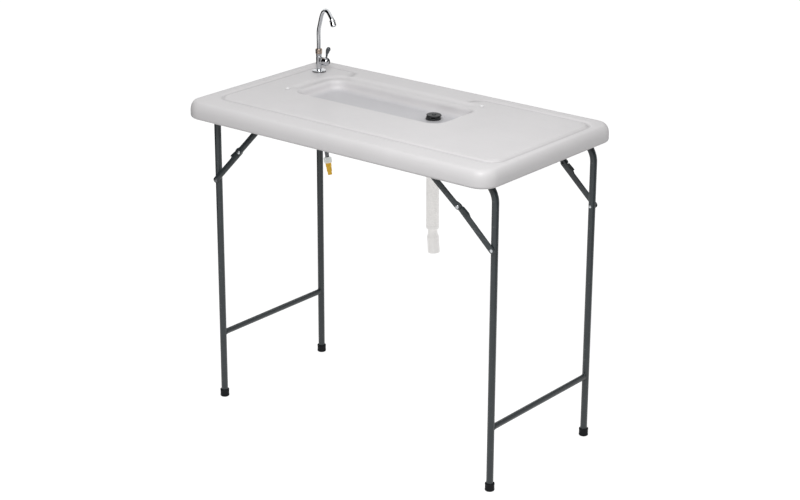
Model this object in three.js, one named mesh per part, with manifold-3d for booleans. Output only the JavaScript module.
// A folding fish cleaning table: a moulded top with a sink and a gooseneck tap, on two leg frames that fold flat.
// Millimetres, +Z up. The origin is on the floor under the middle of the top, +X is the drain end, +Y the back.
import * as THREE from "three";
import { mergeVertices } from "three/addons/utils/BufferGeometryUtils.js";
import Module from "manifold-3d";

const wasm = await Module();
wasm.setup();

// Clearances and cutting
const touch = 0.3; // between pieces that touch
const running = 0.3; // round a pin in its hole
const overrun = 6; // how far a cutting tool passes the face that it cuts
const weld = 1e-4; // vertices nearer than this are one

// Facets
const roundSides = 16;
const gutterSides = 32;
const smallSides = 10;
const cornerSteps = 6;
const plateSteps = 6; // in the half round end of a link

// Top
const topLength = 1042;
const topWidth = 584;
const topHeight = 890;
const skirtDepth = 48;
const cornerRadius = 52;
const edgeRound = 23;
const hemRound = 8;
const hemWidth = 19;
const panelThickness = 20;
const recessDraft = 4;
const halfLength = topLength / 2;
const halfWidth = topWidth / 2;

// Groove that is moulded round the work surface
const grooveInsetLeft = 51;
const grooveInsetRight = 36;
const grooveInsetFront = 83;
const grooveInsetBack = 53;
const grooveWidth = 12;
const grooveDepth = 2.4;
const grooveCornerRadius = 40;
const grooveSwingLength = 44; // along X, where the groove swings forward to the sink
const grooveGapLeft = 30; // from the sink's left rim to the groove's end
const grooveGapRight = 66; // from the sink's right rim to the groove's end

// Sink
const sinkInsetLeft = 168; // from the top's edge to the sink's rim
const sinkInsetRight = 356;
const sinkInsetFront = 260;
const sinkInsetBack = 129;
const sinkCornerRadius = 42;
const sinkDepthLeft = 33;
const sinkDepthRight = 38;
const sinkDraft = 5;
const sinkFillet = 18;
const sinkRimRound = 5;
const sinkWall = 4;

// Gutter along the left and the back of the sink, into which both ends of the groove run
const gutterWidth = 28;
const gutterDepth = 3;
const gutterOffset = 19.5; // from the sink's rim to the gutter's middle
const gutterTaper = 16;
const gutterStartInset = 24; // from the sink's front rim
const gutterEndInset = 23; // from the sink's right rim

// Screw caps at the ends of the gutter
const capRadius = 7.2;
const capTopRadius = 5.8;
const capHeight = 3;
const capHoleRadius = 2;
const capHoleDepth = 1.6;
const capLeftOffset = -23; // from the sink's left rim
const capLeftInset = 13; // from the sink's front rim
const capBackInset = 13; // from the sink's right rim
const capBackOffset = 21; // from the sink's back rim

// Pattern of moulded pits under the top
const pitRadius = 9;
const pitBottomRadius = 4.5;
const pitDepth = 12;
const pitSpacingX = 72;
const pitSpacingY = 68;
const pitMargin = 24;
const pitSides = 6;

// Drain
const drainInsetRight = 119; // from the sink's right rim
const drainInsetBack = 58; // from the sink's back rim
const drainFlangeRadius = 20.5;
const drainFlangeThickness = 3;
const drainSeatDepth = 3;
const drainBossRadius = 28;
const drainBossHeight = 5.5;
const drainTailRadius = 14;
const drainBore = 11.5;
const drainTailLength = 36;
const drainGasketRadius = 25;
const drainGasketThickness = 2.5;
const drainNutRadius = 24;
const drainNutThickness = 9;
const drainNutSides = 8;
const strainerRadius = 20.2;
const strainerHeight = 5.2;
const strainerWall = 2;
const strainerFloor = 1.6;
const strainerEye = 6.4;
const strainerSlots = 8;
const strainerSlotWidth = 3;
const stopperRadius = 21;
const stopperThickness = 3.2;
const stopperRimShare = 0.94;
const stopperLift = 4.6; // gap under the stopper's disc while it stands open
const stopperStemRadius = 3;
const stopperGripRadius = 6;
const stopperGripHeight = 2;
const stopperLean = 0.035; // radians
const stopperShift = 2.6;

// Drain hose
const hoseRadius = 18.2;
const hoseRibDepth = 1.1;
const hoseRibPitch = 5.2;
const hoseBore = 15.5;
const hoseSides = 8;
const boreRibStep = 5;
const hoseStraight = 35;
const hosePlainEnd = 9;
const hoseOverlap = 14; // how far the hose is pushed up over the tail
const hoseLength = 292;
const hoseLean = 0.012; // radians, at the foot of the hose
const cuffInsert = 12;
const cuffNeckRadius = 13.4;
const cuffNeckLength = 13;
const cuffRadius = 16.8;
const cuffLength = 55;
const cuffWall = 3;
const cuffLean = 0.085; // radians

// Tap
const tapInsetLeft = 91; // from the top's left end
const tapInsetBack = 114; // from the top's back edge
const tapGasketThickness = 1.5;
const tapBaseRadius = 20;
const tapBaseEdge = 2.5;
const tapBaseShoulderShare = 0.72;
const tapBaseHeight = 6.5;
const tapBodyRadius = 8.3;
const tapBodyTop = 53; // above the top
const tapCollarRadius = 9.8;
const tapCollarLip = 0.6;
const tapCollarHeight = 15;
const shankRadius = 5.5;
const shankReach = 77; // below the base's top
const tapNutRadius = 9.6;
const tapNutThickness = 8;
const tapNutSides = 6;
const tapWasherThickness = 1.6;
const spoutRadius = 5.8;
const spoutSocket = 12;
const spoutBendHeight = 118; // above the top, where the gooseneck starts to lean
const spoutReach = 79;
const spoutRise = 71.6;
const spoutTurn = -0.35; // radians, from +X to the way the spout points
const spoutSteps = 26;
const spoutShares = [
  [0, 0],
  [0.02, 0.11],
  [0.114, 0.38],
  [0.177, 0.555],
  [0.254, 0.728],
  [0.361, 0.885],
  [0.48, 0.971],
  [0.592, 1],
  [0.709, 0.969],
  [0.83, 0.887],
  [0.927, 0.8],
  [0.975, 0.757],
  [1, 0.71],
];
const aeratorRadius = 8.2;
const aeratorEdge = 1;
const aeratorLength = 19.5;
const aeratorBore = 5.5;
const aeratorBoreDepth = 8;
const valveTurn = 0.14; // radians, from +X to the way the valve points
const valveHeight = 32;
const valveRadius = 12.4;
const valveDome = 10;
const valveDomeShares = [0, 0.35, 0.65, 0.87];
const valveReach = 26; // from the tap's axis to the start of the dome
const valveBossRadius = 6;
const valveBossReach = 15;
const valveSlotWidth = 5;
const leverPivotReach = 26;
const leverHubRadius = 4.2;
const leverHubWidth = 4.2;
const leverPinRadius = 1.5;
const leverPinReach = 3;
const leverLength = 44.5;
const leverWidth = 13.5;
const leverThickness = 12.4;
const leverLean = 7; // how far the top stands out past the hub
// Rise, lean, width and thickness at places up the lever
const leverShares = [
  [0, 0, 0.31, 0.34],
  [0.3, 0, 0.31, 0.38],
  [0.48, 0.18, 0.44, 0.48],
  [0.64, 0.5, 0.74, 0.76],
  [0.8, 0.85, 1, 1],
  [0.93, 1, 0.84, 0.84],
  [1, 1, 0.4, 0.4],
];

// Supply hose and its quick connector
const supplyRadius = 6;
const supplyHeading = -0.17; // radians, from +X to the way the hose leans
const supplyLean = 0.235; // radians
const supplyStraight = 13;
const supplyBend = 40;
const supplyRun = 134;
const supplySides = 10;
const supplyBendSteps = 3;
const supplyRunSteps = 8;
const supplyNutRadius = 12;
const supplyNutEdge = 2;
const supplyNutLength = 17;
const supplyNutGrip = 6;
const supplyNutSides = 12;
const connectorSeat = 5;
const connectorSeatRadius = 6;
const connectorTopRadius = 7.6;
const connectorTipRadius = 6.2;
const connectorTipLength = 10;
const connectorCollarRadius = 8.6;
const connectorCollarLength = 10;
const connectorLength = 35;
const connectorBore = 4;
const connectorBoreDepth = 14;

// Leg frames
const legRadius = 9.5;
const pivotDrop = 34; // from the top's surface down to the pivots
const crossbarRadius = 6.35;
const crossbarStub = 1.2;
const spreaderRadius = 8;
const footRadius = 13;
const footHeight = 22;
const footFloor = 3;
const footRound = 2;
const legBendRadius = 60;
const legBendSteps = 9;
const domeShares = [0.35, 0.65, 0.87, 0.97];
const innerHeadRadius = 4;
const innerHeadHeight = 1.4;

// Braces
const linkWidth = 16.5;
const linkThickness = 5;
const linkRound = 1.2;
const heelStart = -12; // along the link, from its knee
const heelTopStart = -4;
const heelTopEnd = 5;
const heelReach = 8.6;
const heelHeight = 11.8; // from the link's middle line
const heelLow = 9;
const stopTabStart = 9.4;
const stopTabRise = 27;
const stopTabEnd = 34;
const stopTabFade = 6;
const stopTabLow = 10.3;
const stopTabThickness = 3;
const stopTabGap = 0.5;
const rivetRadius = 3;
const rivetHeadRadius = 5.5;
const rivetHeadHeight = 2.2;
const rivetSink = 2.4;
const bracketThickness = 2.5;
const bracketLength = 38;
const bracketEarRadius = 9.5;
const pinHeadHeight = 1.5;

// Saddle clips that hold the crossbars up under the top
const clipWidth = 14;
const clipThickness = 2;
const clipFoot = 16;
const clipInset = 2; // from the leg's side to the clip

// Left frame, measured from the edges of the top and down from the pivots
const leftEndInset = 71;
const leftFrontInset = 63;
const leftBackInset = 91;
const leftSpreaderHeight = 197;
const leftRivetDrop = 194.6;
const leftBracketInset = 255;
const leftKneeInset = 166.6;
const leftKneeDrop = 93.4;

// Right frame, whose legs stand further out than their pivots
const rightEndInset = 71;
const rightFootInset = 13;
const rightFrontInset = 58;
const rightBackInset = 86;
const rightSpreaderHeight = 179;
const rightRivetDrop = 182;
const rightBracketInset = 225.1;
const rightKneeInset = 118.2;
const rightKneeDrop = 85.5;

// The two frames. pivotX is the crossbar's place, footX the leg's, side is +1 where the frame folds to +X.
const pivotHeight = topHeight - pivotDrop;
const frames = [
  {
    name: "left",
    side: 1,
    pivotX: leftEndInset - halfLength,
    footX: leftEndInset - halfLength,
    frontY: leftFrontInset - halfWidth,
    backY: halfWidth - leftBackInset,
    spreaderZ: leftSpreaderHeight,
    rivetZ: pivotHeight - leftRivetDrop,
    bracketX: leftBracketInset - halfLength,
    kneeX: leftKneeInset - halfLength,
    kneeZ: pivotHeight - leftKneeDrop,
  },
  {
    name: "right",
    side: -1,
    pivotX: halfLength - rightEndInset,
    footX: halfLength - rightFootInset,
    frontY: rightFrontInset - halfWidth,
    backY: halfWidth - rightBackInset,
    spreaderZ: rightSpreaderHeight,
    rivetZ: pivotHeight - rightRivetDrop,
    bracketX: halfLength - rightBracketInset,
    kneeX: halfLength - rightKneeInset,
    kneeZ: pivotHeight - rightKneeDrop,
  },
];

// Derived places
const deckZ = topHeight - panelThickness; // the underside of the panel
const skirtZ = topHeight - skirtDepth; // the lowest edge of the skirt
const sinkLeft = sinkInsetLeft - halfLength;
const sinkRight = halfLength - sinkInsetRight;
const sinkFront = sinkInsetFront - halfWidth;
const sinkBack = halfWidth - sinkInsetBack;
const sinkLength = sinkRight - sinkLeft;
const drainX = sinkRight - drainInsetRight;
const drainY = sinkBack - drainInsetBack;
const tapX = tapInsetLeft - halfLength;
const tapY = halfWidth - tapInsetBack;

const table = new THREE.Group();

// Adds one named piece with a material of its own.
function add(name, geometry, look) {
  const piece = new THREE.Mesh(geometry, new THREE.MeshStandardMaterial(look));
  piece.name = name;
  table.add(piece);
  return piece;
}

const looks = {
  top: { color: 0xdedddd, roughness: 0.55, metalness: 0 },
  cap: { color: 0xeeeeee, roughness: 0.4, metalness: 0 },
  black: { color: 0x1d2123, roughness: 0.5, metalness: 0 },
  rubber: { color: 0x2a2a2a, roughness: 0.85, metalness: 0 },
  hose: { color: 0xdddcda, roughness: 0.5, metalness: 0 },
  chrome: { color: 0xd8dadd, roughness: 0.08, metalness: 1 },
  bronze: { color: 0xa08c80, roughness: 0.2, metalness: 1 },
  braid: { color: 0x8b8d8f, roughness: 0.5, metalness: 0.6 },
  clear: { color: 0xd9dad8, roughness: 0.35, metalness: 0 },
  yellow: { color: 0xd2a53a, roughness: 0.45, metalness: 0 },
  powder: { color: 0x4a5052, roughness: 0.45, metalness: 0.3 },
  steel: { color: 0xb9bcbd, roughness: 0.3, metalness: 1 },
};

// A three.js geometry as a solid that can be joined and cut.
function solid(geometry) {
  const bare = geometry.clone();
  bare.deleteAttribute("normal");
  bare.deleteAttribute("uv");
  const merged = mergeVertices(bare, weld);
  return new wasm.Manifold(
    new wasm.Mesh({
      numProp: 3,
      vertProperties: merged.attributes.position.array,
      triVerts: new Uint32Array(merged.index.array),
    }),
  );
}

// A solid as a three.js geometry.
function shape(body) {
  const mesh = body.getMesh();
  const geometry = new THREE.BufferGeometry();
  geometry.setAttribute("position", new THREE.BufferAttribute(mesh.vertProperties, 3));
  geometry.setIndex(new THREE.BufferAttribute(mesh.triVerts, 1));
  geometry.computeVertexNormals();
  return geometry;
}

// A closed skin through rings of as many points each, listed upwards and anticlockwise from above.
function loft(rings) {
  const sides = rings[0].length;
  const points = rings.flat();
  const faces = [];
  for (let ring = 0; ring + 1 < rings.length; ring++) {
    for (let i = 0; i < sides; i++) {
      const a = ring * sides + i;
      const b = ring * sides + ((i + 1) % sides);
      faces.push(a, b, b + sides, a, b + sides, a + sides);
    }
  }
  const last = (rings.length - 1) * sides;
  for (let i = 1; i + 1 < sides; i++) {
    faces.push(0, i + 1, i);
    faces.push(last, last + i, last + i + 1);
  }
  const geometry = new THREE.BufferGeometry().setFromPoints(points);
  geometry.setIndex(faces);
  geometry.computeVertexNormals();
  return geometry;
}

// The points of a rectangle with round corners, anticlockwise, at a height that may follow x.
function roundedRing(left, right, front, back, radius, heightAt) {
  const corners = [
    [right - radius, back - radius],
    [left + radius, back - radius],
    [left + radius, front + radius],
    [right - radius, front + radius],
  ];
  return corners.flatMap(([x, y], corner) =>
    Array.from({ length: cornerSteps + 1 }, (_, step) => {
      const turn = ((corner + step / cornerSteps) * Math.PI) / 2;
      const px = x + radius * Math.cos(turn);
      const py = y + radius * Math.sin(turn);
      return new THREE.Vector3(px, py, heightAt(px));
    }),
  );
}

// A round ring about a point, square to a direction, whose points start from the side that faces "start".
function circleRing(centre, along, start, radius, sides) {
  const across = new THREE.Vector3().crossVectors(along, start).normalize();
  const up = new THREE.Vector3().crossVectors(across, along).normalize();
  return Array.from({ length: sides }, (_, i) => {
    const turn = (i / sides) * 2 * Math.PI;
    return centre
      .clone()
      .addScaledVector(up, radius * Math.cos(turn))
      .addScaledVector(across, radius * Math.sin(turn));
  });
}

// A tube along points in one plane, whose radius may change. "side" is the plane's normal.
function tube(points, side, radiusAt, sides) {
  const rings = points.map((point, i) => {
    const before = points[Math.max(i - 1, 0)];
    const after = points[Math.min(i + 1, points.length - 1)];
    const along = after.clone().sub(before).normalize();
    return circleRing(point, along, side, radiusAt(i), sides);
  });
  return loft(rings);
}

// A solid of revolution about +Z from [radius, height] pairs that run upwards on the outside.
function turned(profile, sides) {
  const points = profile.map(([radius, height]) => new THREE.Vector2(radius, height));
  return new THREE.LatheGeometry(points, sides).rotateX(Math.PI / 2);
}

// A round bar about +Z between two heights.
function bar(radius, low, high, sides) {
  return turned([[0, low], [radius, low], [radius, high], [0, high]], sides);
}

// A round bar along Y between two places.
function barAlongY(radius, low, high, sides) {
  return bar(radius, low, high, sides).rotateX(-Math.PI / 2);
}

// An outline in X and Z, drawn with the thickness running along +Y from a place.
function plateInXZ(outline, thickness, y, round) {
  return new THREE.ExtrudeGeometry(outline, {
    depth: thickness - 2 * round,
    bevelEnabled: round > 0,
    bevelSize: round,
    bevelOffset: -round,
    bevelThickness: round,
    bevelSegments: 1,
    curveSegments: plateSteps,
  })
    .rotateX(Math.PI / 2)
    .translate(0, y + thickness - round, 0);
}

// Points of an arc in X and Z about a centre, between two angles from +X.
function arcXZ(centreX, centreZ, radius, from, to, steps, y) {
  return Array.from({ length: steps + 1 }, (_, i) => {
    const turn = from + ((to - from) * i) / steps;
    return new THREE.Vector3(centreX + radius * Math.cos(turn), y, centreZ + radius * Math.sin(turn));
  });
}

// Depth of the sink's floor below the top at a place along X.
function sinkDepthAt(x) {
  const share = (x - sinkLeft) / sinkLength;
  return sinkDepthLeft + (sinkDepthRight - sinkDepthLeft) * share;
}

// One ring of the sink, drawn in from its rim by "inset".
function sinkRing(inset, heightAt) {
  return roundedRing(
    sinkLeft + inset,
    sinkRight - inset,
    sinkFront + inset,
    sinkBack - inset,
    sinkCornerRadius - inset,
    heightAt,
  );
}

// The hollow of the sink, with a filleted floor and a rounded rim, grown outwards by "wall" for its underside.
function sinkBody(wall) {
  const rings = [];
  const floorInset = sinkDraft + sinkFillet;
  for (const share of [0, 1 / 3, 2 / 3, 1]) {
    const turn = (share * Math.PI) / 2;
    const inset = floorInset - sinkFillet * Math.sin(turn) - wall;
    const rise = sinkFillet * (1 - Math.cos(turn)) - wall;
    rings.push(sinkRing(inset, (x) => topHeight - sinkDepthAt(x) + rise));
  }
  if (wall > 0) {
    rings.push(sinkRing(-wall, () => deckZ + overrun));
    return loft(rings);
  }
  for (const share of [0, 1 / 2, 1]) {
    const turn = (share * Math.PI) / 2;
    const inset = -sinkRimRound * (1 - Math.cos(turn));
    const height = topHeight - sinkRimRound * (1 - Math.sin(turn));
    rings.push(sinkRing(inset, () => height));
  }
  rings.push(sinkRing(-sinkRimRound, () => topHeight + overrun));
  return loft(rings);
}

// The outside of the top: round corners, a soft upper edge and a hemmed lower one.
function topBlank() {
  const ring = (inset, height) =>
    roundedRing(
      inset - halfLength,
      halfLength - inset,
      inset - halfWidth,
      halfWidth - inset,
      cornerRadius - inset,
      () => height,
    );
  const rings = [];
  for (const share of [0, 1 / 2, 1]) {
    const turn = (share * Math.PI) / 2;
    rings.push(ring(hemRound * (1 - Math.sin(turn)), skirtZ + hemRound * (1 - Math.cos(turn))));
  }
  for (const share of [0, 1 / 5, 2 / 5, 3 / 5, 4 / 5, 1]) {
    const turn = (share * Math.PI) / 2;
    rings.push(ring(edgeRound * (1 - Math.cos(turn)), topHeight - edgeRound * (1 - Math.sin(turn))));
  }
  return loft(rings);
}

// The space under the panel, inside the skirt.
function topRecess() {
  const ring = (inset, height) =>
    roundedRing(
      inset - halfLength,
      halfLength - inset,
      inset - halfWidth,
      halfWidth - inset,
      cornerRadius - inset + recessDraft,
      () => height,
    );
  return loft([
    ring(hemWidth, skirtZ - overrun),
    ring(hemWidth, skirtZ),
    ring(hemWidth + recessDraft, deckZ),
  ]);
}

// A rounded groove is the mark of a round bar that is sunk a little way into the surface.
function barRadiusFor(width, depth) {
  return ((width / 2) ** 2 + depth ** 2) / (2 * depth);
}

// The tool that cuts the groove: it runs round the work surface and swings in to the gutter at both ends.
function grooveCutter() {
  const left = grooveInsetLeft - halfLength;
  const right = halfLength - grooveInsetRight;
  const front = grooveInsetFront - halfWidth;
  const back = halfWidth - grooveInsetBack;
  const end = sinkBack + gutterOffset;
  const startX = sinkLeft + grooveGapLeft;
  const endX = sinkRight - grooveGapRight;
  const swing = grooveSwingLength;
  const path = new THREE.Path();
  path.moveTo(startX, end);
  path.bezierCurveTo(startX - swing / 3, back, startX - swing / 3, back, startX - swing, back);
  const corner = grooveCornerRadius;
  const turns = [
    [left + corner, back - corner, Math.PI / 2, Math.PI],
    [left + corner, front + corner, Math.PI, 1.5 * Math.PI],
    [right - corner, front + corner, 1.5 * Math.PI, 2 * Math.PI],
    [right - corner, back - corner, 0, Math.PI / 2],
  ];
  for (const [x, y, from, to] of turns) path.absarc(x, y, corner, from, to);
  path.lineTo(endX + swing, back);
  path.bezierCurveTo(endX + swing / 3, back, endX + swing / 3, back, endX, end);
  const radius = barRadiusFor(grooveWidth, grooveDepth);
  const centreZ = topHeight - grooveDepth + radius;
  const points = path.getPoints(cornerSteps).map((p) => new THREE.Vector3(p.x, p.y, centreZ));
  return tube(dropRepeats(points), new THREE.Vector3(0, 0, 1), () => radius, roundSides);
}

// Points without the ones that repeat the place before them.
function dropRepeats(points) {
  return points.filter((p, i) => i === 0 || p.distanceTo(points[i - 1]) > touch);
}

// The tool that cuts the gutter: from the left screw cap, round the sink's back corner, to the back one.
function gutterCutter() {
  const radius = barRadiusFor(gutterWidth, gutterDepth);
  const x = sinkLeft - gutterOffset;
  const y = sinkBack + gutterOffset;
  const corner = sinkCornerRadius + gutterOffset;
  const path = new THREE.Path();
  const startY = sinkFront + gutterStartInset;
  const endX = sinkRight - gutterEndInset;
  path.moveTo(x, startY);
  path.lineTo(x, startY + gutterTaper);
  path.absarc(x + corner, y - corner, corner, Math.PI, Math.PI / 2, true);
  path.lineTo(endX - gutterTaper, y);
  path.lineTo(endX, y);
  const flat = path.getPoints(cornerSteps);
  const last = flat.length - 1;
  const centreZ = topHeight - gutterDepth + radius;
  const points = flat.map((p, i) => {
    const lift = i === 0 || i === last ? gutterDepth : 0;
    return new THREE.Vector3(p.x, p.y, centreZ + lift);
  });
  return tube(dropRepeats(points), new THREE.Vector3(0, 0, 1), () => radius, gutterSides);
}

// Where the moulded pits may not go: the sink, the tap, and the strips that the brackets and clips take.
function pitIsFree(x, y) {
  const nearSink =
    x > sinkLeft - pitMargin && x < sinkRight + pitMargin && y > sinkFront - pitMargin && y < sinkBack + pitMargin;
  const nearTap = Math.hypot(x - tapX, y - tapY) < pitMargin + tapNutRadius;
  const nearFittings = frames.some(
    (frame) =>
      (Math.abs(x - frame.pivotX) < bracketLength || Math.abs(x - frame.bracketX) < bracketLength) &&
      (y < frame.frontY + pitMargin || y > frame.backY - pitMargin),
  );
  return !nearSink && !nearTap && !nearFittings;
}

// The pits that tie the panel's two skins together, as tools that cut up into its underside.
function pitCutters() {
  const columns = Math.floor((halfLength - hemWidth - pitMargin) / pitSpacingX);
  const rows = Math.floor((halfWidth - hemWidth - pitMargin) / pitSpacingY);
  const pits = [];
  for (let column = -columns; column <= columns; column++) {
    for (let row = -rows; row <= rows; row++) {
      const x = column * pitSpacingX;
      const y = row * pitSpacingY;
      if (!pitIsFree(x, y)) continue;
      const flare = ((pitRadius - pitBottomRadius) * overrun) / pitDepth;
      const cone = turned(
        [
          [0, -overrun],
          [pitRadius + flare, -overrun],
          [pitBottomRadius, pitDepth],
          [0, pitDepth],
        ],
        pitSides,
      );
      pits.push(solid(cone.translate(x, y, deckZ)));
    }
  }
  return pits;
}

// Drain places
const drainFloorZ = topHeight - sinkDepthAt(drainX);
const drainSeatZ = drainFloorZ - drainSeatDepth;
const drainBossZ = drainFloorZ - sinkWall - drainBossHeight;

function buildTop() {
  let body = solid(topBlank()).subtract(solid(topRecess()));
  body = body.add(solid(sinkBody(sinkWall)));
  body = body.add(
    solid(bar(drainBossRadius, drainBossZ, drainFloorZ, roundSides).translate(drainX, drainY, 0)),
  );
  body = body.subtract(solid(sinkBody(0)));
  body = body.subtract(solid(grooveCutter()));
  body = body.subtract(solid(gutterCutter()));
  const seat = bar(drainFlangeRadius + 2 * touch, drainSeatZ, drainFloorZ + overrun, roundSides);
  body = body.subtract(solid(seat.translate(drainX, drainY, 0)));
  const drainHole = bar(drainTailRadius + touch, drainBossZ - overrun, drainFloorZ, roundSides);
  body = body.subtract(solid(drainHole.translate(drainX, drainY, 0)));
  const tapHole = bar(shankRadius + touch, deckZ - overrun, topHeight + overrun, smallSides);
  body = body.subtract(solid(tapHole.translate(tapX, tapY, 0)));
  for (const pit of pitCutters()) body = body.subtract(pit);
  add("tabletop", shape(body), looks.top);
}

// Round plastic covers on the two screws at the ends of the gutter.
function buildScrewCaps() {
  const places = [
    ["screw_cap_left", sinkLeft + capLeftOffset, sinkFront + capLeftInset],
    ["screw_cap_back", sinkRight - capBackInset, sinkBack + capBackOffset],
  ];
  for (const [name, x, y] of places) {
    const profile = [
      [0, touch],
      [capRadius, touch],
      [capRadius, capHeight / 2],
      [capTopRadius, capHeight],
      [capHoleRadius, capHeight],
      [capHoleRadius, capHeight - capHoleDepth],
      [0, capHeight - capHoleDepth],
    ];
    add(name, turned(profile, roundSides).translate(x, y, topHeight), looks.cap);
  }
}

function buildDrain() {
  const at = (geometry) => geometry.translate(drainX, drainY, 0);
  const flangeZ = drainSeatZ + touch;
  const flangeTop = flangeZ + drainFlangeThickness;
  const tailZ = flangeZ - drainTailLength;
  const flange = turned(
    [
      [drainBore, tailZ],
      [drainTailRadius, tailZ],
      [drainTailRadius, flangeZ],
      [drainFlangeRadius, flangeZ],
      [drainFlangeRadius, flangeTop],
      [drainBore, flangeTop],
      [drainBore, tailZ],
    ],
    roundSides,
  );
  add("drain_flange", at(flange), looks.black);

  const gasketTop = drainBossZ - touch;
  const gasketLow = gasketTop - drainGasketThickness;
  const nutTop = gasketLow - touch;
  const hole = bar(drainTailRadius + touch, skirtZ - 2 * drainTailLength, topHeight, roundSides);
  const gasket = bar(drainGasketRadius, gasketLow, gasketTop, roundSides);
  const nut = bar(drainNutRadius, nutTop - drainNutThickness, nutTop, drainNutSides);
  add("drain_gasket", at(shape(solid(gasket).subtract(solid(hole)))), looks.rubber);
  add("drain_nut", at(shape(solid(nut).subtract(solid(hole)))), looks.black);

  const cupZ = flangeTop + touch;
  const cupTop = cupZ + strainerHeight;
  let cup = solid(
    turned(
      [
        [0, cupZ],
        [strainerRadius, cupZ],
        [strainerRadius, cupTop],
        [strainerRadius - strainerWall, cupTop],
        [strainerRadius - strainerWall, cupZ + strainerFloor],
        [0, cupZ + strainerFloor],
      ],
      roundSides,
    ),
  );
  cup = cup.subtract(solid(bar(strainerEye, cupZ - overrun, cupTop, smallSides)));
  const slotInner = strainerEye + strainerWall / 2;
  const slotLength = strainerRadius - strainerWall - slotInner - touch;
  for (let i = 0; i < strainerSlots; i++) {
    const slot = new THREE.BoxGeometry(slotLength, strainerSlotWidth, strainerHeight);
    slot.translate(slotInner + slotLength / 2, 0, cupZ);
    slot.rotateZ((i / strainerSlots) * 2 * Math.PI);
    cup = cup.subtract(solid(slot));
  }
  add("drain_strainer", at(shape(cup)), looks.black);

  const stemLow = cupZ - stopperLift;
  const discZ = cupTop + stopperLift;
  const discTop = discZ + stopperThickness;
  const stopper = turned(
    [
      [0, stemLow],
      [stopperStemRadius, stemLow],
      [stopperStemRadius, discZ],
      [stopperRadius * stopperRimShare, discZ],
      [stopperRadius, discZ + stopperThickness / 2],
      [stopperRadius * stopperRimShare, discTop],
      [stopperGripRadius, discTop],
      [stopperGripRadius, discTop + stopperGripHeight],
      [0, discTop + stopperGripHeight],
    ],
    roundSides,
  );
  stopper.translate(0, 0, -discZ).rotateY(stopperLean).translate(stopperShift, 0, discZ);
  add("drain_stopper", at(stopper), looks.black);
  return tailZ;
}

// Places along a hose that hangs from a point: straight, then a bend from one lean to another, then straight.
function hangingAxis({ start, heading, leanFrom, leanTo, straight, bend }) {
  const curvature = (leanTo - leanFrom) / bend;
  return (travel) => {
    const first = Math.min(travel, straight);
    const turning = Math.min(Math.max(travel - straight, 0), bend);
    const rest = Math.max(travel - straight - bend, 0);
    const lean = leanFrom + curvature * turning;
    const bendOut = (Math.cos(leanFrom) - Math.cos(lean)) / curvature;
    const bendDown = (Math.sin(lean) - Math.sin(leanFrom)) / curvature;
    const out = first * Math.sin(leanFrom) + bendOut + rest * Math.sin(leanTo);
    const down = first * Math.cos(leanFrom) + bendDown + rest * Math.cos(leanTo);
    const ahead = new THREE.Vector3(Math.cos(heading), Math.sin(heading), 0);
    return {
      centre: start.clone().addScaledVector(ahead, out).add(new THREE.Vector3(0, 0, -down)),
      along: ahead.multiplyScalar(Math.sin(lean)).add(new THREE.Vector3(0, 0, -Math.cos(lean))),
    };
  };
}

// A ring about a hanging hose.
function hoseRing(axis, travel, radius, sides) {
  const { centre, along } = axis(travel);
  return circleRing(centre, along, new THREE.Vector3(0, 1, 0), radius, sides);
}

// A pipe wall between outer and inner rings that are both listed downwards.
function sleeve(outer, inner) {
  const sides = outer[0].length;
  const rings = [...outer, ...inner.slice().reverse()];
  const faces = [];
  for (let ring = 0; ring < rings.length; ring++) {
    const next = (ring + 1) % rings.length;
    for (let i = 0; i < sides; i++) {
      const a = ring * sides + i;
      const b = ring * sides + ((i + 1) % sides);
      const c = next * sides + ((i + 1) % sides);
      const d = next * sides + i;
      faces.push(a, b, c, a, c, d);
    }
  }
  const geometry = new THREE.BufferGeometry().setFromPoints(rings.flat());
  geometry.setIndex(faces);
  geometry.computeVertexNormals();
  return geometry;
}

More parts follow.
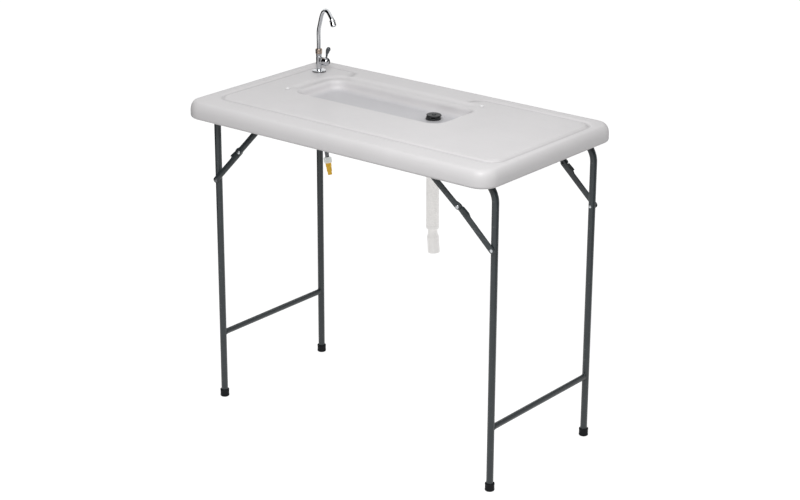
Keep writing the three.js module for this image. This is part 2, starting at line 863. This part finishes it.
// The ribbed hose is pushed up over the drain's tail and hangs free, with a stiff cuff at its foot.
function buildDrainHose(tailZ) {
  const ribbed = hoseLength - 2 * hosePlainEnd;
  const ribs = Math.round(ribbed / hoseRibPitch);
  const axis = hangingAxis({
    start: new THREE.Vector3(drainX, drainY, tailZ + hoseOverlap),
    heading: 0,
    leanFrom: 0,
    leanTo: hoseLean,
    straight: hoseStraight,
    bend: hoseLength - 2 * hoseStraight,
  });
  const ringAt = (travel, radius) => hoseRing(axis, travel, radius, hoseSides);
  const outer = [ringAt(0, hoseRadius), ringAt(hosePlainEnd, hoseRadius)];
  for (let rib = 0; rib < ribs; rib++) {
    const travel = hosePlainEnd + ((rib + 1 / 2) * ribbed) / ribs;
    outer.push(ringAt(travel - hoseRibPitch / 4, hoseRadius - hoseRibDepth));
    outer.push(ringAt(travel + hoseRibPitch / 4, hoseRadius));
  }
  outer.push(ringAt(hoseLength, hoseRadius));
  const inner = [ringAt(0, hoseBore)];
  for (let rib = boreRibStep; rib < ribs; rib += boreRibStep) {
    inner.push(ringAt(hosePlainEnd + (rib * ribbed) / ribs, hoseBore));
  }
  inner.push(ringAt(hoseLength, hoseBore));
  add("drain_hose", sleeve(outer, inner), looks.hose);

  const foot = axis(hoseLength - cuffInsert);
  const cuffAxis = hangingAxis({
    start: foot.centre,
    heading: 0,
    leanFrom: hoseLean,
    leanTo: cuffLean,
    straight: cuffInsert + cuffWall,
    bend: cuffNeckLength,
  });
  const shoulder = cuffInsert + cuffWall + cuffNeckLength;
  const end = shoulder + cuffLength;
  const cuffRing = (travel, radius) => hoseRing(cuffAxis, travel, radius, roundSides);
  const skin = [
    cuffRing(0, cuffNeckRadius),
    cuffRing(cuffInsert + cuffWall, cuffNeckRadius),
    cuffRing(shoulder, cuffNeckRadius),
    cuffRing(shoulder + cuffWall, cuffRadius),
    cuffRing(end - cuffWall, cuffRadius),
    cuffRing(end, cuffRadius - cuffWall / 2),
  ];
  const lining = [cuffRing(0, cuffNeckRadius - cuffWall), cuffRing(end, cuffNeckRadius - cuffWall)];
  lining.splice(1, 0, cuffRing(shoulder, cuffNeckRadius - cuffWall));
  add("drain_hose_cuff", sleeve(skin, lining), looks.hose);
}

// Tap heights
const tapFootZ = topHeight + touch + tapGasketThickness + touch;
const tapColumnZ = tapFootZ + tapBaseHeight + touch;
const tapTopZ = topHeight + tapBodyTop;
const tapShankZ = tapColumnZ - shankReach - tapBaseHeight;

// Turns a piece that is drawn about the tap's axis, and sets it in its place.
function atTap(geometry, turn) {
  return geometry.rotateZ(turn).translate(tapX, tapY, 0);
}

// A round bar along +X between two places, at a height.
function barAlongX(radius, low, high, height, sides) {
  return bar(radius, low, high, sides)
    .rotateY(Math.PI / 2)
    .translate(0, 0, height);
}

function buildTapMount() {
  const hole = solid(bar(shankRadius + touch, tapShankZ - overrun, tapTopZ, smallSides));
  const bored = (geometry) => atTap(shape(solid(geometry).subtract(hole)), 0);
  const gasketZ = topHeight + touch;
  const gasket = bar(tapBaseRadius - touch, gasketZ, gasketZ + tapGasketThickness, roundSides);
  add("faucet_gasket", bored(gasket), looks.rubber);

  const base = turned(
    [
      [0, tapFootZ],
      [tapBaseRadius, tapFootZ],
      [tapBaseRadius, tapFootZ + tapBaseEdge],
      [tapBaseRadius * tapBaseShoulderShare, tapFootZ + tapBaseEdge * 2],
      [tapBodyRadius, tapFootZ + tapBaseHeight],
      [0, tapFootZ + tapBaseHeight],
    ],
    roundSides,
  );
  add("faucet_base", bored(base), looks.chrome);

  const washerTop = deckZ - touch;
  const washerLow = washerTop - tapWasherThickness;
  const nutTop = washerLow - touch;
  add("faucet_washer", bored(bar(tapNutRadius, washerLow, washerTop, roundSides)), looks.steel);
  const nut = bar(tapNutRadius, nutTop - tapNutThickness, nutTop, tapNutSides);
  add("faucet_nut", bored(nut), looks.steel);
}

function buildTapBody() {
  const valveZ = topHeight + valveHeight;
  const column = turned(
    [
      [0, tapShankZ],
      [shankRadius, tapShankZ],
      [shankRadius, tapColumnZ],
      [tapBodyRadius, tapColumnZ],
      [tapBodyRadius, tapTopZ],
      [spoutRadius + running, tapTopZ],
      [spoutRadius + running, tapTopZ - spoutSocket],
      [0, tapTopZ - spoutSocket],
    ],
    roundSides,
  );
  const boss = barAlongX(valveBossRadius, 0, valveBossReach, valveZ, smallSides);
  add("faucet_body", atTap(shape(solid(column).add(solid(boss))), valveTurn), looks.chrome);

  const collarZ = tapTopZ + touch;
  const collarTop = collarZ + tapCollarHeight;
  const collar = turned(
    [
      [spoutRadius + running, collarZ],
      [tapCollarRadius - tapCollarLip, collarZ],
      [tapCollarRadius, collarZ + tapCollarHeight / 4],
      [tapCollarRadius, collarTop - tapCollarHeight / 4],
      [tapCollarRadius - tapCollarLip, collarTop],
      [spoutRadius + running, collarTop],
      [spoutRadius + running, collarZ],
    ],
    roundSides,
  );
  add("faucet_collar", atTap(collar, 0), looks.bronze);

  let bonnet = solid(
    turned(
      [
        [0, 0],
        [valveRadius, 0],
        [valveRadius, valveReach],
        ...valveDomeShares.map((share) => [
          valveRadius * Math.sqrt(1 - share * share),
          valveReach + valveDome * share,
        ]),
        [0, valveReach + valveDome],
      ],
      roundSides,
    )
      .rotateY(Math.PI / 2)
      .translate(0, 0, valveZ),
  );
  bonnet = bonnet.subtract(solid(bar(tapBodyRadius + touch, topHeight, tapTopZ, roundSides)));
  const socket = barAlongX(valveBossRadius + touch, 0, valveBossReach + touch, valveZ, smallSides);
  bonnet = bonnet.subtract(solid(socket));
  const slotStart = leverPivotReach - leverHubRadius - running;
  const slotFloor = valveZ - leverHubRadius - running;
  const slotLength = valveReach + valveDome + overrun - slotStart;
  const slotHeight = valveZ + valveRadius + overrun - slotFloor;
  const slot = new THREE.BoxGeometry(slotLength, valveSlotWidth, slotHeight);
  slot.translate(slotStart + slotLength / 2, 0, slotFloor + slotHeight / 2);
  bonnet = bonnet.subtract(solid(slot));
  const pinHole = barAlongY(leverPinRadius + running, -valveRadius, valveRadius, smallSides);
  bonnet = bonnet.subtract(solid(pinHole.translate(leverPivotReach, 0, valveZ)));
  add("faucet_bonnet", atTap(shape(bonnet), valveTurn), looks.chrome);
  buildLever(valveZ);
}

// The lever is a flared paddle on a hub, and its pin turns in the cheeks of the valve.
function buildLever(valveZ) {
  const thick = leverThickness / 2;
  const rings = leverShares.map(([riseShare, leanShare, widthShare, depthShare]) =>
    Array.from({ length: smallSides }, (_, i) => {
      const turn = (i / smallSides) * 2 * Math.PI;
      return new THREE.Vector3(
        leverLean * leanShare + thick * depthShare * Math.cos(turn),
        (leverWidth / 2) * widthShare * Math.sin(turn),
        leverLength * riseShare,
      );
    }),
  );
  const pinHalf = valveSlotWidth / 2 + leverPinReach;
  const hub = barAlongY(leverHubRadius, -leverHubWidth / 2, leverHubWidth / 2, smallSides);
  const pin = barAlongY(leverPinRadius, -pinHalf, pinHalf, smallSides);
  const lever = shape(solid(loft(rings)).add(solid(hub)).add(solid(pin)));
  lever.translate(leverPivotReach, 0, valveZ);
  add("faucet_lever", atTap(lever, valveTurn), looks.black);
}

// The gooseneck rises from its socket, leans out and turns down at its end.
function buildSpout() {
  const footZ = tapTopZ - spoutSocket + touch;
  const bendZ = topHeight + spoutBendHeight;
  const places = spoutShares.map(
    ([outShare, upShare]) => new THREE.Vector3(outShare * spoutReach, 0, bendZ + upShare * spoutRise),
  );
  const curve = new THREE.CatmullRomCurve3([new THREE.Vector3(0, 0, tapTopZ), ...places]);
  const points = [new THREE.Vector3(0, 0, footZ), ...curve.getSpacedPoints(spoutSteps)];
  const sideways = new THREE.Vector3(0, 1, 0);
  const spout = tube(points, sideways, () => spoutRadius, smallSides);
  add("faucet_spout", atTap(spout, spoutTurn), looks.chrome);

  const last = points[points.length - 1];
  const end = last.clone().sub(points[points.length - 2]).normalize();
  const top = last.clone().addScaledVector(end, touch);
  const down = (travel, radius) =>
    circleRing(top.clone().addScaledVector(end, travel), end, sideways, radius, roundSides);
  const aerator = loft([
    down(0, aeratorRadius - aeratorEdge),
    down(aeratorEdge, aeratorRadius),
    down(aeratorLength - aeratorEdge, aeratorRadius),
    down(aeratorLength, aeratorRadius - aeratorEdge),
  ]);
  const bore = loft([
    down(aeratorLength - aeratorBoreDepth, aeratorBore),
    down(aeratorLength + overrun, aeratorBore),
  ]);
  add("faucet_aerator", atTap(shape(solid(aerator).subtract(solid(bore))), spoutTurn), looks.chrome);
}

// The short supply hose hangs from the shank and ends in a nut and a quick connector.
function buildSupplyHose() {
  const axis = hangingAxis({
    start: new THREE.Vector3(tapX, tapY, tapShankZ - touch),
    heading: supplyHeading,
    leanFrom: 0,
    leanTo: supplyLean,
    straight: supplyStraight,
    bend: supplyBend,
  });
  const length = supplyStraight + supplyBend + supplyRun;
  const travels = [0, supplyStraight];
  for (let i = 1; i <= supplyBendSteps; i++) {
    travels.push(supplyStraight + (supplyBend * i) / supplyBendSteps);
  }
  const runStart = supplyStraight + supplyBend;
  for (let i = 1; i <= supplyRunSteps; i++) {
    travels.push(runStart + (supplyRun * i) / supplyRunSteps);
  }
  const ringAt = (travel, radius, sides) => hoseRing(axis, travel, radius, sides);
  add("supply_hose", loft(travels.map((t) => ringAt(t, supplyRadius, supplySides))), looks.braid);

  const nutStart = length - supplyNutGrip;
  const nutEnd = nutStart + supplyNutLength;
  const nut = loft([
    ringAt(nutStart, supplyNutRadius - supplyNutEdge, supplyNutSides),
    ringAt(nutStart + supplyNutEdge, supplyNutRadius, supplyNutSides),
    ringAt(nutEnd, supplyNutRadius, supplyNutSides),
  ]);
  const grip = loft([
    ringAt(nutStart - overrun, supplyRadius + touch, roundSides),
    ringAt(length + touch, supplyRadius + touch, roundSides),
  ]);
  const seat = loft([
    ringAt(nutEnd - connectorSeat - touch, connectorSeatRadius + touch, roundSides),
    ringAt(nutEnd + overrun, connectorSeatRadius + touch, roundSides),
  ]);
  add("supply_hose_nut", shape(solid(nut).subtract(solid(grip)).subtract(solid(seat))), looks.clear);

  const start = nutEnd - connectorSeat;
  const bodyStart = nutEnd + touch;
  const collarEnd = bodyStart + connectorCollarLength;
  const tip = bodyStart + connectorLength;
  const connector = loft([
    ringAt(start, connectorSeatRadius, roundSides),
    ringAt(bodyStart, connectorSeatRadius, roundSides),
    ringAt(bodyStart, connectorCollarRadius, roundSides),
    ringAt(collarEnd, connectorCollarRadius, roundSides),
    ringAt(collarEnd, connectorTopRadius, roundSides),
    ringAt(tip - connectorTipLength, connectorTopRadius, roundSides),
    ringAt(tip - connectorTipLength, connectorTipRadius, roundSides),
    ringAt(tip, connectorTipRadius, roundSides),
  ]);
  const bore = loft([
    ringAt(tip - connectorBoreDepth, connectorBore, smallSides),
    ringAt(tip + overrun, connectorBore, smallSides),
  ]);
  add("hose_connector", shape(solid(connector).subtract(solid(bore))), looks.yellow);
}

// The two ends of a frame: its name, which way is outwards along Y, and where the leg stands.
function endsOf(frame) {
  return [
    { name: "front", outward: -1, legY: frame.frontY },
    { name: "back", outward: 1, legY: frame.backY },
  ];
}

// A leg runs up from its foot and, where its pivot is not above it, bends over to the pivot.
function buildLeg(frame, end) {
  const bottomZ = footFloor + touch;
  const y = end.legY;
  const lean = Math.abs(frame.footX - frame.pivotX);
  const points = [new THREE.Vector3(frame.footX, y, bottomZ)];
  if (lean > 0) {
    const centreX = frame.footX - legBendRadius;
    const reach = frame.pivotX - centreX;
    const bendRise = Math.sqrt(legBendRadius ** 2 - reach ** 2);
    const centreZ = pivotHeight - bendRise;
    const to = Math.atan2(bendRise, reach);
    points.push(...arcXZ(centreX, centreZ, legBendRadius, 0, to, legBendSteps, y));
  } else {
    points.push(new THREE.Vector3(frame.pivotX, y, pivotHeight));
  }
  const last = points.length - 1;
  const along = points[last].clone().sub(points[last - 1]).normalize();
  for (const share of domeShares) {
    points.push(points[last].clone().addScaledVector(along, legRadius * share));
  }
  const radiusAt = (i) => (i <= last ? legRadius : legRadius * Math.sqrt(1 - domeShares[i - last - 1] ** 2));
  let leg = solid(tube(points, new THREE.Vector3(0, 1, 0), radiusAt, roundSides));
  const hole = barAlongY(crossbarRadius + touch, y - 2 * legRadius, y + 2 * legRadius, roundSides);
  leg = leg.subtract(solid(hole.translate(frame.pivotX, 0, pivotHeight)));
  const inner = y - end.outward * (legRadius + innerHeadHeight);
  const head = barAlongY(innerHeadRadius, Math.min(y, inner), Math.max(y, inner), smallSides);
  leg = leg.add(solid(head.translate(frame.footX, 0, frame.rivetZ)));
  add(`leg_${frame.name}_${end.name}`, shape(leg), looks.powder);

  const foot = turned(
    [
      [0, 0],
      [footRadius - footRound, 0],
      [footRadius, footRound],
      [footRadius, footHeight - footRound / 2],
      [footRadius - footRound / 2, footHeight],
      [legRadius + touch, footHeight],
      [legRadius + touch, footFloor],
      [0, footFloor],
    ],
    roundSides,
  );
  add(`foot_${frame.name}_${end.name}`, foot.translate(frame.footX, y, 0), looks.black);
}

// The pivot bar runs through both legs of a frame and out into its clips.
function buildCrossbar(frame) {
  const reach = legRadius + clipInset + clipWidth + crossbarStub;
  const bar = barAlongY(crossbarRadius, frame.frontY - reach, frame.backY + reach, roundSides);
  add(`crossbar_${frame.name}`, bar.translate(frame.pivotX, 0, pivotHeight), looks.powder);
}

// The spreader is cut to fit against the legs.
function buildSpreader(frame) {
  let spreader = solid(barAlongY(spreaderRadius, frame.frontY, frame.backY, roundSides));
  for (const end of endsOf(frame)) {
    const cutter = bar(legRadius + touch, -2 * legRadius, 2 * legRadius, roundSides);
    spreader = spreader.subtract(solid(cutter.translate(0, end.legY, 0)));
  }
  const placed = shape(spreader).translate(frame.footX, 0, frame.spreaderZ);
  add(`spreader_${frame.name}`, placed, looks.powder);
}

// A strap that hangs from the underside of the top and carries the end of a crossbar.
function buildClip(frame, end) {
  const near = end.legY + end.outward * (legRadius + clipInset);
  const far = near + end.outward * clipWidth;
  const low = Math.min(near, far);
  const high = Math.max(near, far);
  const innerRadius = crossbarRadius + running;
  const outerRadius = innerRadius + clipThickness;
  const topZ = deckZ - touch - pivotHeight;
  const slab = (halfX, from, to, past) =>
    solid(
      new THREE.BoxGeometry(2 * halfX, clipWidth + 2 * past, to - from).translate(
        0,
        (low + high) / 2,
        (from + to) / 2,
      ),
    );
  const foot = slab(outerRadius + clipFoot, topZ - clipThickness, topZ, 0);
  let clip = solid(barAlongY(outerRadius, low, high, roundSides));
  clip = clip.add(slab(outerRadius, 0, topZ, 0)).add(foot);
  clip = clip.subtract(solid(barAlongY(innerRadius, low - overrun, high + overrun, roundSides)));
  clip = clip.subtract(slab(innerRadius, 0, topZ + overrun, overrun));
  add(
    `clip_${frame.name}_${end.name}`,
    shape(clip).translate(frame.pivotX, 0, pivotHeight),
    looks.powder,
  );
}

// A flat outline with round ends about two points.
function stadium(ax, az, bx, bz, radius) {
  const angle = Math.atan2(bz - az, bx - ax);
  const outline = new THREE.Shape();
  outline.absarc(bx, bz, radius, angle - Math.PI / 2, angle + Math.PI / 2, false);
  outline.absarc(ax, az, radius, angle + Math.PI / 2, angle + 1.5 * Math.PI, false);
  return outline;
}

// A flat outline in X and Z from places along a line and out to one side of it.
function outlineBeside(x, z, angle, side, places) {
  const points = places.map(([along, out]) => {
    const across = side * out;
    return new THREE.Vector2(
      x + along * Math.cos(angle) - across * Math.sin(angle),
      z + along * Math.sin(angle) + across * Math.cos(angle),
    );
  });
  return new THREE.Shape(points);
}

// A folding brace: two links between a bracket under the top and a rivet on the leg.
function buildBrace(frame, end) {
  const label = `${frame.name}_${end.name}`;
  const out = end.outward;
  const legSide = end.legY + out * legRadius;
  const layer = (start, thickness) => {
    const near = legSide + out * start;
    const far = near + out * thickness;
    return { low: Math.min(near, far), high: Math.max(near, far) };
  };
  const lower = layer(touch, linkThickness);
  const upper = layer(2 * touch + linkThickness, linkThickness);
  const ear = layer(3 * touch + 2 * linkThickness, bracketThickness);
  const midX = frame.kneeX;
  const midZ = frame.kneeZ;
  const upperAngle = Math.atan2(midZ - pivotHeight, midX - frame.bracketX);
  const lowerAngle = Math.atan2(frame.rivetZ - midZ, frame.footX - midX);
  const corner = -frame.side;
  const holeAt = (x, z) =>
    solid(
      barAlongY(rivetRadius + running, legSide - bracketLength, legSide + bracketLength, smallSides).translate(x, 0, z),
    );
  const link = (ax, az, bx, bz, place) =>
    solid(plateInXZ(stadium(ax, az, bx, bz, linkWidth / 2), linkThickness, place.low, linkRound));

  let top = link(frame.bracketX, pivotHeight, midX, midZ, upper);
  const heel = outlineBeside(midX, midZ, upperAngle, corner, [
    [heelStart, 0],
    [heelReach, 0],
    [heelReach, heelLow],
    [heelTopEnd, heelHeight],
    [heelTopStart, heelHeight],
    [heelStart, linkWidth / 2 - touch],
  ]);
  top = top.add(solid(plateInXZ(heel, linkThickness, upper.low, 0)));
  top = top.subtract(holeAt(frame.bracketX, pivotHeight)).subtract(holeAt(midX, midZ));
  add(`brace_upper_${label}`, shape(top), looks.powder);

  let foot = link(midX, midZ, frame.footX, frame.rivetZ, lower);
  const tabSide = linkWidth / 2 + stopTabGap;
  const tabOut = tabSide + stopTabThickness;
  const tabLow = Math.min(lower.low, upper.low);
  const tabHigh = Math.max(lower.high, upper.high);
  const crest = [
    [stopTabEnd, tabOut],
    [stopTabRise, tabOut],
    [stopTabStart, stopTabLow],
  ];
  const bulge = outlineBeside(midX, midZ, lowerAngle, corner, [
    [stopTabStart, 0],
    [stopTabEnd + stopTabFade, 0],
    [stopTabEnd + stopTabFade, linkWidth / 2 - touch],
    ...crest,
  ]);
  const tab = outlineBeside(midX, midZ, lowerAngle, corner, [
    [stopTabStart, tabSide],
    [stopTabEnd, tabSide],
    ...crest,
  ]);
  foot = foot.add(solid(plateInXZ(bulge, linkThickness, lower.low, 0)));
  foot = foot.add(solid(plateInXZ(tab, tabHigh - tabLow, tabLow, 0)));
  foot = foot.subtract(holeAt(midX, midZ)).subtract(holeAt(frame.footX, frame.rivetZ));
  const headLayer = layer(touch + linkThickness - rivetSink, rivetSink + overrun);
  const counterbore = barAlongY(rivetHeadRadius + running, headLayer.low, headLayer.high, roundSides);
  foot = foot.subtract(solid(counterbore.translate(frame.footX, 0, frame.rivetZ)));
  add(`brace_lower_${label}`, shape(foot), looks.powder);

  const rivet = (shank, head, x, z) =>
    shape(
      solid(barAlongY(rivetRadius, shank.low, shank.high, smallSides)).add(
        solid(barAlongY(rivetHeadRadius, head.low, head.high, roundSides)),
      ),
    ).translate(x, 0, z);
  const midShank = layer(touch, 2 * linkThickness + 2 * touch + rivetHeadHeight);
  const midHead = layer(3 * touch + 2 * linkThickness, rivetHeadHeight);
  add(`rivet_mid_${label}`, rivet(midShank, midHead, midX, midZ), looks.steel);
  const legShank = layer(touch, linkThickness);
  const legHead = layer(2 * touch + linkThickness - rivetSink, rivetSink - touch);
  add(`rivet_leg_${label}`, rivet(legShank, legHead, frame.footX, frame.rivetZ), looks.steel);

  buildBracket(frame, label, layer, ear, upper);
}

// The bracket has a plate against the underside of the top, an ear, and a pin for the upper link.
function buildBracket(frame, label, layer, ear, upper) {
  const topZ = deckZ - touch - pivotHeight;
  const half = bracketLength / 2;
  const outline = new THREE.Shape();
  outline.moveTo(half, topZ);
  outline.lineTo(-half, topZ);
  outline.lineTo(-half, topZ - bracketThickness);
  outline.absarc(0, 0, bracketEarRadius, Math.PI, 2 * Math.PI, false);
  outline.lineTo(half, topZ - bracketThickness);
  let bracket = solid(plateInXZ(outline, bracketThickness, ear.low, 0));
  const plate = layer(touch, ear.high - ear.low + 2 * linkThickness + 2 * touch);
  const seat = new THREE.BoxGeometry(bracketLength, plate.high - plate.low, bracketThickness);
  seat.translate(0, (plate.low + plate.high) / 2, topZ - bracketThickness / 2);
  bracket = bracket.add(solid(seat));
  const pinLow = Math.min(upper.low, ear.low);
  const pinHigh = Math.max(upper.high, ear.high);
  bracket = bracket.add(solid(barAlongY(rivetRadius, pinLow, pinHigh, smallSides)));
  const head = layer(3 * touch + 2 * linkThickness + bracketThickness / 2, bracketThickness / 2 + pinHeadHeight);
  bracket = bracket.add(solid(barAlongY(rivetHeadRadius, head.low, head.high, roundSides)));
  add(`brace_bracket_${label}`, shape(bracket).translate(frame.bracketX, 0, pivotHeight), looks.powder);
}

buildTop();
buildScrewCaps();
buildDrainHose(buildDrain());
buildTapMount();
buildTapBody();
buildSpout();
buildSupplyHose();
for (const frame of frames) {
  buildCrossbar(frame);
  buildSpreader(frame);
  for (const end of endsOf(frame)) {
    buildLeg(frame, end);
    buildClip(frame, end);
    buildBrace(frame, end);
  }
}

export default table;
